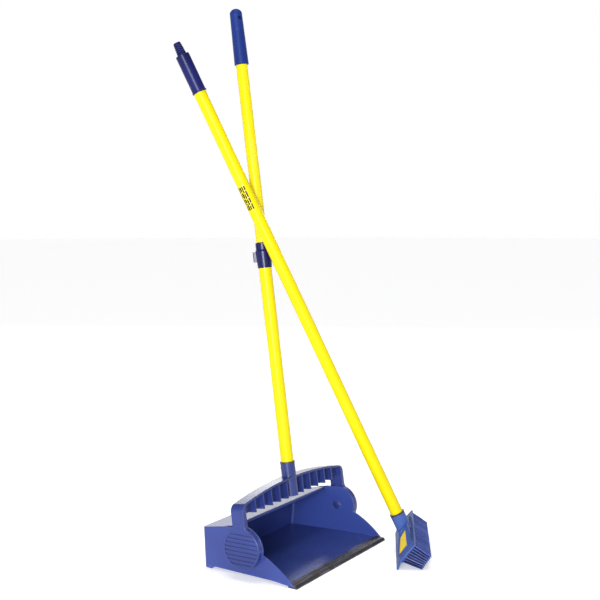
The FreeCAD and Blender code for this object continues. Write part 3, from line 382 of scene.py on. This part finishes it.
def lip_ribs(material):
    """Low round ribs along the strip, from cheek to cheek, on the slope of its upper face."""
    low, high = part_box("lip_strip")
    rear, front = high.y - REAR_MARGIN, low.y + FRONT_MARGIN
    rise = (height_over("lip_strip", 0, rear) - height_over("lip_strip", 0, front)) / (rear - front)
    recipe = Recipe("rib_row", {
        "Ribs": RIB_COUNT, "Pitch": (rear - front) / (RIB_COUNT - 1), "Rear": rear, "Slope": rise,
        "Top": height_over("lip_strip", 0, rear) - RIB_SINK, "Length": high.x - low.x - END_MARGINS,
        "Width": RIB_WIDTH, "Height": RIB_HEIGHT})
    bar = recipe.node("GeometryNodeMeshCylinder", {"fill_type": "NGON"}, {
        "Vertices": 10, "Radius": recipe.size("Width") / 2, "Depth": recipe.size("Length")}, "Mesh")
    flat = recipe.node("ShaderNodeCombineXYZ", inputs={
        0: recipe.size("Height") * 2 / recipe.size("Width"), 1: 1.0, 2: 1.0})
    lying = recipe.node("GeometryNodeTransform", inputs={"Geometry": bar, "Scale": flat})
    lying = recipe.node("GeometryNodeTransform", inputs={
        "Geometry": lying, "Rotation": (0, math.pi / 2, 0)})
    step = recipe.node("GeometryNodeInputIndex")
    back = recipe.size("Pitch") * step
    where = recipe.node("ShaderNodeCombineXYZ", inputs={
        0: 0.0, 1: recipe.size("Rear") - back, 2: recipe.size("Top") - back * recipe.size("Slope")})
    points = recipe.node("GeometryNodePoints", inputs={"Count": recipe.size("Ribs"), "Position": where})
    ribs = recipe.node("GeometryNodeInstanceOnPoints", inputs={"Points": points, "Instance": lying})
    return recipe.made("lip_ribs", ribs, material)


LIP_RUBBER = lip_rubber()
paint("lip_strip", LIP_RUBBER)
ribs = lip_ribs(LIP_RUBBER)
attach(ribs, "pan")

# ---- bail, pivots and washers -------------------------------------------------------
# The bail is one navy moulding: an arch with open ribs, a socket for the tube and two ribbed
# discs. Headed pins come through the pan from inside; a white nylon washer keeps each side free.
BAIL_NAVY = (0.020, 0.036, 0.175)
BAIL_DEEP = (0.015, 0.027, 0.140)


def bail_plastic():
    return moulded_plastic("navy_bail_plastic", BAIL_NAVY, BAIL_DEEP, NAVY_RUBBED, 0.22, 2.0e-5,
                           Specular_IOR_Level=0.4)[0].material


def washer_nylon():
    """Natural nylon: milky and waxy, with a fine matt skin."""
    finish = Finish("washer_nylon", (0.78, 0.76, 0.69), 0.36, Subsurface_Weight=0.15,
                    Subsurface_Scale=0.002)
    cloud = finish.noise(260.0, 3.0)
    finish.feed("Base Color", finish.mixed(cloud, (0.70, 0.68, 0.60), (0.82, 0.80, 0.74)))
    finish.feed("Roughness", 0.30 + 0.16 * cloud)
    finish.bump(finish.noise(3000.0), 1.0e-5)
    return finish.material


def pin_acetal():
    """Dark acetal of the pins, a little uneven in shade and gloss."""
    finish = Finish("pin_acetal", (0.014, 0.020, 0.080), 0.32)
    cloud = finish.noise(420.0, 3.0)
    finish.feed("Base Color", finish.mixed(cloud, (0.010, 0.014, 0.060), (0.026, 0.036, 0.130)))
    finish.feed("Roughness", 0.26 + 0.16 * cloud)
    finish.bump(finish.noise(2400.0), 1.0e-5)
    return finish.material


paint("bail", bail_plastic())
WASHER_NYLON, PIN_ACETAL = washer_nylon(), pin_acetal()
for side in ("left", "right"):
    paint("pivot_washer_" + side, WASHER_NYLON)
    paint("pivot_pin_" + side, PIN_ACETAL)

# ---- ferrule ring and screws --------------------------------------------------------
# A black ring closes the socket round the yellow tube, and another one closes the brush
# socket. Each tube is held by a zinc-plated self-tapping screw.


def ring_rubber():
    finish = Finish("ring_rubber", (0.012, 0.012, 0.016), 0.42)
    cloud = finish.noise(300.0, 3.0)
    finish.feed("Base Color", finish.mixed(cloud, (0.009, 0.009, 0.012), (0.030, 0.030, 0.038)))
    finish.feed("Roughness", 0.36 + 0.18 * cloud)
    finish.bump(finish.noise(2200.0), 1.6e-5)
    return finish.material


def screw_zinc():
    """Zinc plate: bright, a little blue and yellow, dulled in small spots."""
    finish = Finish("screw_zinc", (0.62, 0.63, 0.64), 0.30, Metallic=1.0)
    tarnish = finish.noise(900.0, 4.0)
    dull = finish.between(tarnish, 0.50, 0.68)
    finish.feed("Base Color", finish.mixed(dull, (0.66, 0.67, 0.68), (0.50, 0.47, 0.38)))
    finish.feed("Roughness", 0.24 + 0.26 * dull)
    finish.bump(finish.noise(5000.0), 0.8e-5)
    return finish.material


RING_RUBBER, SCREW_ZINC = ring_rubber(), screw_zinc()
for node in ("ferrule_ring", "brush_socket_ring"):
    paint(node, RING_RUBBER)
for node in ("socket_screw", "brush_screw"):
    paint(node, SCREW_ZINC)

# ---- handle tubes -------------------------------------------------------------------
# Two thin steel tubes, one sliding in the other, powder-coated bright yellow. The coat has
# an orange-peel skin; the upper tube is drawn out dull by the collet where it slides.
HANDLE_UP = Vector(next(j for j in frame["joints"] if j["name"] == "handle_slide")["axis"]).normalized()
YELLOW = (0.66, 0.555, 0.001)
YELLOW_DEEP = (0.62, 0.49, 0.001)
YELLOW_RUBBED = (0.57, 0.50, 0.03)
RUB_FADE = 0.02
RUB_BELOW, RUB_ABOVE = 0.01, 0.19


def span(node, axis):
    """Lowest and highest reach of a node along an axis."""
    reach = [v.co.dot(axis) for v in NODES[node].data.vertices]
    return min(reach), max(reach)


def powder_coat(name, up, slid=None):
    """Yellow powder coat on a tube that runs along up; slid is the stretch rubbed by the collet."""
    finish = Finish(name, YELLOW, 0.30, Specular_IOR_Level=0.15)
    along = finish.reach(up)
    cloud = finish.noise(16.0, 3.0)
    side = up.orthogonal().normalized()
    streak = finish.noise(1.0, 3.0, finish.combined(
        finish.reach(side) * 420, finish.reach(up.cross(side)) * 420, along * 9))
    rubbed = finish.between(streak, 0.60, 0.72) * finish.between(cloud, 0.42, 0.60)
    if slid is not None:
        foot, top = slid
        past_foot = finish.between(along, foot, foot + RUB_FADE)
        past_top = finish.between(along, top - RUB_FADE, top)
        rubbed = rubbed + past_foot * (1 - past_top) * finish.between(streak, 0.42, 0.66)
    body = finish.mixed(cloud, YELLOW_DEEP, YELLOW)
    finish.feed("Base Color", finish.mixed(rubbed * 0.6, body, YELLOW_RUBBED))
    finish.feed("Roughness", 0.24 + 0.06 * cloud + 0.16 * rubbed)
    finish.bump(finish.noise(700.0, 1.5) - 0.4 * rubbed, 5.5e-5)
    return finish.material


def plug_plastic():
    """Grey plastic of the plug and the bush inside the tubes."""
    return moulded_plastic("grey_inner_plastic", (0.30, 0.31, 0.33), (0.24, 0.25, 0.27),
                           (0.42, 0.42, 0.43), 0.42, 2.0e-5)[0].material


COLLET_TOP = span("collet", HANDLE_UP)[1]
paint("lower_tube", powder_coat("yellow_lower_tube", HANDLE_UP))
RUBBED_STRETCH = (COLLET_TOP - RUB_BELOW, COLLET_TOP + RUB_ABOVE)
paint("upper_tube", powder_coat("yellow_upper_tube", HANDLE_UP, RUBBED_STRETCH))
INNER_PLASTIC = plug_plastic()
for node in ("lower_tube_plug", "upper_tube_bush"):
    paint(node, INNER_PLASTIC)

# ---- collar -------------------------------------------------------------------------
# Twist lock of the telescopic handle: a threaded sleeve, a nut with two finger wings, and a
# split collet, all in a darker glossy navy nylon. Fingers leave hairline rubs on the nut.
INK = (0.006, 0.007, 0.066)
INK_DEEP = (0.003, 0.004, 0.042)
INK_RUBBED = (0.025, 0.030, 0.12)


def collar_nylon():
    return moulded_plastic("ink_collar_nylon", INK, INK_DEEP, INK_RUBBED, 0.20, 1.6e-5,
                           Specular_IOR_Level=0.24)[0].material


COLLAR_NYLON = collar_nylon()
for node in ("collar_base", "collar_nut", "collet"):
    paint(node, COLLAR_NYLON)

# ---- grip ---------------------------------------------------------------------------
# The hand grip is a blown polyethylene sleeve with a domed end and a hole to hang it by.
# Two thirds up, a shallow step runs round it where the thumb rests.
GRIP_BLUE = (0.008, 0.024, 0.150)
GRIP_DEEP = (0.006, 0.018, 0.120)
GRIP_RUBBED = (0.040, 0.070, 0.240)
STEP_HEIGHT, STEP_FADE = 0.0585, 0.0020
BEAD_DEPTH, BEAD_WIDTH, BEAD_FADE = 0.0125, 0.0030, 0.0010


def grip_polyethylene():
    finish = moulded_plastic("grip_polyethylene", GRIP_BLUE, GRIP_DEEP, GRIP_RUBBED, 0.36, 3.0e-5,
                             Specular_IOR_Level=0.15)[0]
    low, high = span("grip", HANDLE_UP)
    along = finish.reach(HANDLE_UP)
    step = finish.between(along, low + STEP_HEIGHT, low + STEP_HEIGHT + STEP_FADE)
    bead_foot, bead_top = high - BEAD_DEPTH, high - BEAD_DEPTH + BEAD_WIDTH
    on_bead = finish.between(along, bead_foot, bead_foot + BEAD_FADE)
    bead = on_bead * (1 - finish.between(along, bead_top - BEAD_FADE, bead_top))
    skin = finish.noise(900.0, 3.0)
    finish.bump(6.0 * step + 5.0 * bead + skin, 4.0e-5)
    return finish.material


paint("grip", grip_polyethylene())

# ---- brush pole ---------------------------------------------------------------------
# The brush pole is the same coated tube. Its top ends in a dark moulded sleeve with a coarse
# tapered thread, and a printed film with plain bars is wrapped half round it.
THREAD = next(m for m in frame["record"]["mounts"] if m["name"] == "pole_thread")
POLE_UP = Vector(THREAD["axis"]).normalized()
POLE_TIP = Vector(THREAD["pos_m"])
BAR_LENGTHS = (0.0085, 0.0115, 0.0070, 0.0100)
BAR_WIDTHS = (0.0023, 0.0028, 0.0021, 0.0026)
BAR_GAP = 0.0016
BAR_TURN = math.radians(19)
BAR_FIRST = math.radians(-28)
BAR_SIDE = Vector((-1, 0, 0))
BAR_THICKNESS = 0.00003
BAR_LIFT = 0.00001
LABEL_MARGIN = 0.002
LAST_BAR_FOOT = 0.009
INK_BLACK = (0.004, 0.004, 0.003)


def tip_nylon():
    return moulded_plastic("ink_tip_nylon", (0.008, 0.011, 0.086), (0.005, 0.008, 0.060),
                           (0.025, 0.032, 0.13), 0.24, 2.4e-5, Specular_IOR_Level=0.18)[0].material


def label_film():
    """Clear film over the yellow coat: the same yellow, smoother, with tiny wrinkles."""
    finish = Finish("label_film", YELLOW, 0.18, Specular_IOR_Level=0.4)
    cloud = finish.noise(70.0, 3.0)
    finish.feed("Base Color", finish.mixed(cloud, (0.62, 0.52, 0.002), (0.67, 0.58, 0.003)))
    finish.feed("Roughness", 0.13 + 0.10 * cloud)
    finish.bump(finish.noise(180.0, 2.0), 2.0e-5)
    return finish.material


def label_ink():
    """Black print, a little broken where the film was handled."""
    finish = Finish("label_ink", INK_BLACK, 0.34, Specular_IOR_Level=0.1)
    speck = finish.between(finish.noise(1500.0, 3.0), 0.58, 0.72)
    finish.feed("Base Color", finish.mixed(speck * 0.5, INK_BLACK, (0.16, 0.12, 0.01)))
    finish.feed("Roughness", 0.30 + 0.2 * speck)
    finish.bump(speck, 0.6e-5)
    return finish.material


def printed_bar(form, skin, foot, top, turn, half):
    """One bar from foot to top: a closed curved patch, three points wide, on a skin of the pole."""
    facing = (BAR_SIDE - POLE_UP * BAR_SIDE.dot(POLE_UP)).normalized()
    beside = POLE_UP.cross(facing)
    edges = []
    for reach in (skin, skin + BAR_THICKNESS):
        for end in (foot, top):
            on_axis = POLE_TIP + POLE_UP * (end - POLE_TIP.dot(POLE_UP))
            edge = []
            for share in (-1, 0, 1):
                angle = turn + half * share
                out = facing * math.cos(angle) + beside * math.sin(angle)
                edge.append(form.verts.new(on_axis + out * reach))
            edges.append(edge)
    inner_foot, inner_top, outer_foot, outer_top = edges
    for s in (0, 1):
        form.faces.new((outer_foot[s], outer_foot[s + 1], outer_top[s + 1], outer_top[s]))
        form.faces.new((inner_foot[s], inner_top[s], inner_top[s + 1], inner_foot[s + 1]))
        form.faces.new((inner_foot[s], inner_foot[s + 1], outer_foot[s + 1], outer_foot[s]))
        form.faces.new((inner_top[s], outer_top[s], outer_top[s + 1], inner_top[s + 1]))
    form.faces.new((inner_foot[0], outer_foot[0], outer_top[0], inner_top[0]))
    form.faces.new((inner_foot[2], inner_top[2], outer_top[2], outer_foot[2]))


def printed_bars(material):
    """Short plain bars in columns along the film, each column a step further round the pole."""
    low, high = span("pole_label", POLE_UP)
    radius = max((v.co - POLE_TIP).cross(POLE_UP).length for v in NODES["pole_label"].data.vertices)
    form = bmesh.new()
    for column, width in enumerate(BAR_WIDTHS):
        foot = low + LABEL_MARGIN
        place = column
        while foot < high - LAST_BAR_FOOT:
            top = min(foot + BAR_LENGTHS[place % len(BAR_LENGTHS)], high - LABEL_MARGIN)
            turn = BAR_FIRST + BAR_TURN * column
            printed_bar(form, radius + BAR_LIFT, foot, top, turn, width / 2 / radius)
            foot = top + BAR_GAP
            place += 1
    bmesh.ops.recalc_face_normals(form, faces=form.faces)
    mesh = bpy.data.meshes.new("label_bars")
    form.to_mesh(mesh)
    form.free()
    mesh.materials.append(material)
    bars = bpy.data.objects.new("label_bars", mesh)
    bpy.context.scene.collection.objects.link(bars)
    return bars


paint("broom_tube", powder_coat("yellow_brush_tube", POLE_UP))
paint("broom_tip", tip_nylon())
paint("pole_label", label_film())
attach(printed_bars(label_ink()), "brush")

# ---- brush head ---------------------------------------------------------------------
# The head is a moulding in a lighter satin blue: a crowned plate with a saddle that
# rises to the socket. Golden yellow panels are pressed into the recess on each slope.
BLOCK_BLUE = (0.046, 0.090, 0.300)
BLOCK_DEEP = (0.034, 0.070, 0.255)
BLOCK_RUBBED = (0.16, 0.24, 0.52)
INLAY_GOLD = (0.80, 0.58, 0.010)
INLAY_DEEP = (0.75, 0.47, 0.007)
INLAY_RUBBED = (0.82, 0.66, 0.11)
BLOCK_EDGE = 0.0006


def block_plastic():
    return moulded_plastic("brush_block_plastic", BLOCK_BLUE, BLOCK_DEEP, BLOCK_RUBBED, 0.42, 2.0e-5,
                           Specular_IOR_Level=0.15)[0].material


def inlay_plastic():
    return moulded_plastic("golden_inlay_plastic", INLAY_GOLD, INLAY_DEEP, INLAY_RUBBED,
                           0.26, 2.6e-5)[0].material


block = eased("brush_block", "brush_block_moulding", block_plastic(), BLOCK_EDGE)
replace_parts(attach(block, "brush"), "brush_block")
GOLDEN_INLAY = inlay_plastic()
for node in ("brush_inlay_near", "brush_inlay_far"):
    paint(node, GOLDEN_INLAY)

# ---- bristles -----------------------------------------------------------------------
# Eight rows of tufts, drilled and stapled into the thick core of the head: navy polyester
# filaments, half a millimetre thick, cut level and pressed flat where they meet the floor.
HEAD_YAW, HEAD_TILT = math.radians(27.4), math.radians(55.7)
ALONG = Vector((-math.cos(HEAD_YAW), -math.sin(HEAD_YAW), 0))
OUTWARD = Vector((math.sin(HEAD_YAW), -math.cos(HEAD_YAW), 0))
ACROSS = OUTWARD * math.cos(HEAD_TILT) + Vector((0, 0, math.sin(HEAD_TILT)))
NORMAL = OUTWARD * -math.sin(HEAD_TILT) + Vector((0, 0, math.cos(HEAD_TILT)))
HEAD_FRAME = Matrix((ALONG, ACROSS, NORMAL)).transposed().to_4x4()
BRISTLE_ROWS = ["bristle_row_%d" % (row + 1) for row in range(8)]
ROW_HALF = 0.0013
CROWN_RISE = 0.0034
TUFTS_IN_ROW = 49
GOLDEN_TURN = 2.39996
TUFT_TURN = 1.7
FULL_TURN = 6.2832
TIP_SCATTER, ROW_SCATTER = 0.00035, 0.0002
LONGEST_CUT = 1.6
FLOOR_CLEARANCE = 0.0009
STRAND_FINENESS = 1300
# colour of the painted shade in the channels between the rows of tufts
CHANNEL_PAINTED_SHADE = (0.006, 0.010, 0.050)


def bristle_polyester():
    """Navy filament: lighter at the cut tips, each strand a slightly different shade, with painted shade in the
    channels between the rows.
    """
    finish = Finish("bristle_polyester", (0.040, 0.048, 0.320), 0.34)
    strand = finish.noise(1.0, 2.0, finish.combined(
        finish.reach(ALONG) * STRAND_FINENESS, finish.reach(ACROSS) * STRAND_FINENESS,
        finish.reach(NORMAL) * 30))
    tip, root = span(BRISTLE_ROWS[-1], NORMAL)
    cut = 1 - finish.between(finish.reach(NORMAL), tip - 0.002, tip + 0.012)
    body = finish.mixed(strand, (0.030, 0.052, 0.220), (0.085, 0.130, 0.450))
    # painted shade on the flanks of the tufts, in the channels between one row and the next, where light doesn't
    # reach
    low_side, high_side = span(BRISTLE_ROWS[0], ACROSS), span(BRISTLE_ROWS[-1], ACROSS)
    last = sum(high_side) / 2
    down = finish.node("ShaderNodeMapRange", inputs={
        "Value": finish.reach(NORMAL), "From Min": root, "From Max": tip})
    first = low_side[0] + ROW_HALF + down * (low_side[1] - low_side[0] - 2 * ROW_HALF)
    place = (finish.reach(ACROSS) - first) * (len(BRISTLE_ROWS) - 1) / (last - first)
    off = finish.node("ShaderNodeMath", {"operation": "PINGPONG"}, {0: place, 1: 0.5})
    inside = 1 - finish.between(finish.reach(ACROSS), last + 0.0002, last + 0.0006)
    channel_shade = finish.between(off, 0.10, 0.24) * inside
    # darken the flanks with painted shade
    shaded = finish.mixed(channel_shade, body, CHANNEL_PAINTED_SHADE)
    finish.feed("Base Color", finish.mixed(cut * 0.35, shaded, (0.100, 0.150, 0.450)))
    finish.feed("Roughness", 0.26 + 0.18 * strand)
    finish.bump(strand, 3.0e-5)
    return finish.material


def tufts(material):
    """All the tufts of the head, drawn with X along it, Y across it and Z away from the tips."""
    left, right = span(BRISTLE_ROWS[0], ALONG)
    low_side, high_side = span(BRISTLE_ROWS[0], ACROSS), span(BRISTLE_ROWS[-1], ACROSS)
    tip, root = span(BRISTLE_ROWS[-1], NORMAL)
    rows = len(BRISTLE_ROWS)
    last = sum(high_side) / 2
    recipe = Recipe("tuft_field", {
        "Rows": rows, "Tufts": TUFTS_IN_ROW, "Filaments": 26, "Left": left,
        "Tuft pitch": (right - left) / TUFTS_IN_ROW,
        "First root": low_side[0] + ROW_HALF, "Root pitch": (last - low_side[0] - ROW_HALF) / (rows - 1),
        "First tip": low_side[1] - ROW_HALF, "Tip pitch": (last - low_side[1] + ROW_HALF) / (rows - 1),
        "Root": root + CROWN_RISE, "Root step": -CROWN_RISE / (rows - 1), "Tip": tip,
        "Tuft radius": 0.0008, "Splay along": 2.3, "Splay across": 1.0, "Filament radius": 0.00026,
        "Bow": 0.00035, "Uneven": 0.0005, "Floor slope": math.tan(HEAD_TILT), "Seed": 7})
    size = recipe.size

    def whole(value):
        return recipe.node("ShaderNodeMath", {"operation": "FLOOR"}, {0: value})

    def trig(operation, value):
        return recipe.node("ShaderNodeMath", {"operation": operation}, {0: value})

    def chance(low, high, offset):
        return recipe.node("FunctionNodeRandomValue", {"data_type": "FLOAT"}, {
            2: low, 3: high, "ID": recipe.node("GeometryNodeInputIndex"), "Seed": size("Seed") + offset}, 1)

    index = recipe.node("GeometryNodeInputIndex")
    row = whole((index + 0.5) / (size("Tufts") * size("Filaments")))
    in_row = index - row * size("Tufts") * size("Filaments")
    tuft = whole((in_row + 0.5) / size("Filaments"))
    strand = in_row - tuft * size("Filaments")
    turn = strand * GOLDEN_TURN + tuft * TUFT_TURN
    out = size("Tuft radius") * trig("SQRT", (strand + 0.5) / size("Filaments"))
    side, front = out * trig("COSINE", turn), out * trig("SINE", turn)
    centre_x = size("Left") + (tuft + 0.5) * size("Tuft pitch")
    root_y = size("First root") + row * size("Root pitch") + front
    root_point = recipe.node("ShaderNodeCombineXYZ", inputs={
        0: centre_x + side, 1: root_y, 2: size("Root") + row * size("Root step")})
    tip_x = centre_x + side * size("Splay along") + chance(-TIP_SCATTER, TIP_SCATTER, 1)
    centre_y = size("First tip") + row * size("Tip pitch")
    tip_y = centre_y + front * size("Splay across") + chance(-ROW_SCATTER, ROW_SCATTER, 2)
    cut = size("Tip") + size("Uneven") * chance(0.0, LONGEST_CUT, 3)
    floor_z = FLOOR_CLEARANCE - tip_y * size("Floor slope")
    tip_z = recipe.node("ShaderNodeMath", {"operation": "MAXIMUM"}, {0: cut, 1: floor_z})
    tip_point = recipe.node("ShaderNodeCombineXYZ", inputs={0: tip_x, 1: tip_y, 2: tip_z})
    line = recipe.node("ShaderNodeVectorMath", {"operation": "SUBTRACT"}, {0: tip_point, 1: root_point})
    length = recipe.node("ShaderNodeVectorMath", {"operation": "LENGTH"}, {0: line}, "Value")
    aimed = recipe.node("FunctionNodeAlignRotationToVector", {"axis": "Z"}, {"Vector": line})
    spun = recipe.node("FunctionNodeRotateRotation", {"rotation_space": "LOCAL"}, {
        "Rotation": aimed, "Rotate By": recipe.node("FunctionNodeEulerToRotation", inputs={
            "Euler": recipe.node("ShaderNodeCombineXYZ", inputs={2: chance(0.0, FULL_TURN, 4)})})})
    # one filament, a unit long, bowed a little in the middle
    stick = recipe.node("GeometryNodeMeshCylinder", {"fill_type": "NGON"}, {
        "Vertices": 3, "Side Segments": 2, "Radius": size("Filament radius"), "Depth": 1.0}, "Mesh")
    height = recipe.node("ShaderNodeSeparateXYZ", inputs={
        0: recipe.node("GeometryNodeInputPosition")}, output="Z")
    bowed = recipe.node("GeometryNodeSetPosition", inputs={
        "Geometry": stick, "Offset": recipe.node("ShaderNodeCombineXYZ", inputs={
            0: size("Bow") * (1 - 4 * height * height), 2: 0.5})})
    points = recipe.node("GeometryNodePoints", inputs={
        "Count": size("Rows") * size("Tufts") * size("Filaments"), "Position": root_point})
    grown = recipe.node("GeometryNodeInstanceOnPoints", inputs={
        "Points": points, "Instance": bowed, "Rotation": spun,
        "Scale": recipe.node("ShaderNodeCombineXYZ", inputs={0: 1.0, 1: 1.0, 2: length})})
    return recipe.made("bristle_tufts", grown, material, HEAD_FRAME)


bristles = tufts(bristle_polyester())
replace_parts(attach(bristles, "brush"), *BRISTLE_ROWS)
